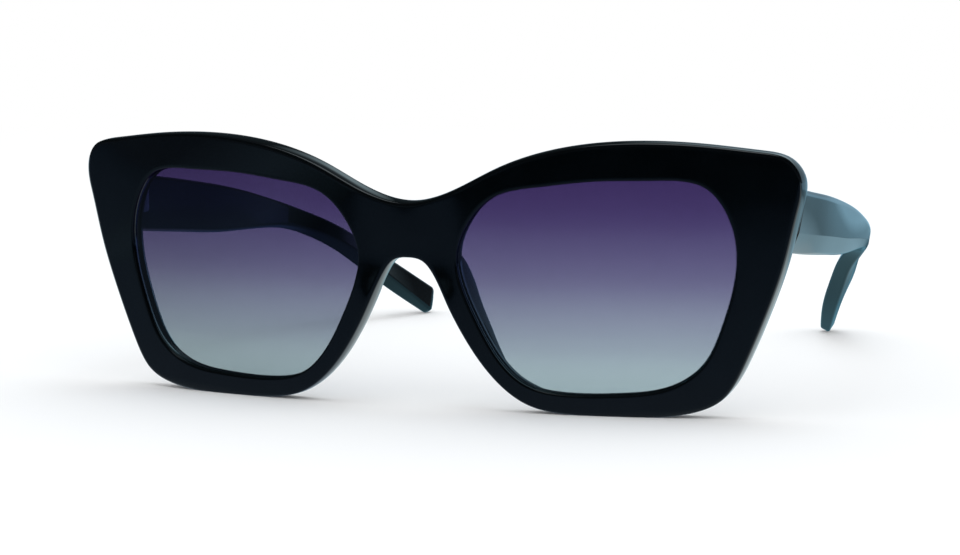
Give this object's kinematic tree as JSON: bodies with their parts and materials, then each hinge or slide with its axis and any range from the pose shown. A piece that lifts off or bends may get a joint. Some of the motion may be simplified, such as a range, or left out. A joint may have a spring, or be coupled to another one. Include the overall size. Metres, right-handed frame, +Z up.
{
  "type": "sunglasses",
  "caption": "Cat eye sunglasses: upswept gloss black front, gradient smoke lenses, and wide tapering temples that fold on steel hinges.",
  "frame": {"origin": "middle of the footprint, on the surface that the glasses stand on", "axes": "+X to the right of someone who looks at the front, +Y from the front towards the ear ends, +Z up"},
  "size_m": [0.1466, 0.1426, 0.0514],
  "materials": {
    "black_acetate": "polished gloss black",
    "smoke_lens": "polished, dark violet grey at the top fading to pale blue grey at the bottom",
    "hinge_steel": "satin",
    "bright_steel": "bright"
  },
  "bodies": {
    "front": {"front_frame": "black_acetate", "lens_left": "smoke_lens", "nose_pad_left": "black_acetate", "front_hinge_leaf_left": "hinge_steel", "hinge_screw_left": "bright_steel", "front_rivet_lower_left": "bright_steel", "front_rivet_upper_left": "bright_steel", "lens_right": "smoke_lens", "nose_pad_right": "black_acetate", "front_hinge_leaf_right": "hinge_steel", "hinge_screw_right": "bright_steel", "front_rivet_lower_right": "bright_steel", "front_rivet_upper_right": "bright_steel"},
    "temple_left": {"temple_left": "black_acetate", "core_wire_left": "hinge_steel", "temple_hinge_leaf_left": "hinge_steel", "temple_rivet_lower_left": "bright_steel", "temple_rivet_upper_left": "bright_steel"},
    "temple_right": {"temple_right": "black_acetate", "core_wire_right": "hinge_steel", "temple_hinge_leaf_right": "hinge_steel", "temple_rivet_lower_right": "bright_steel", "temple_rivet_upper_right": "bright_steel"}
  },
  "joints": [
    {"name": "fold_left", "type": "hinge", "parent": "front", "child": "temple_left", "pos_m": [-0.0675, -0.05471, 0.037], "axis": [0, 0.0645, -0.9979], "range_deg": [0, 84]},
    {"name": "fold_right", "type": "hinge", "parent": "front", "child": "temple_right", "pos_m": [0.0675, -0.05471, 0.037], "axis": [0, -0.0645, 0.9979], "range_deg": [0, 76]}
  ]
}
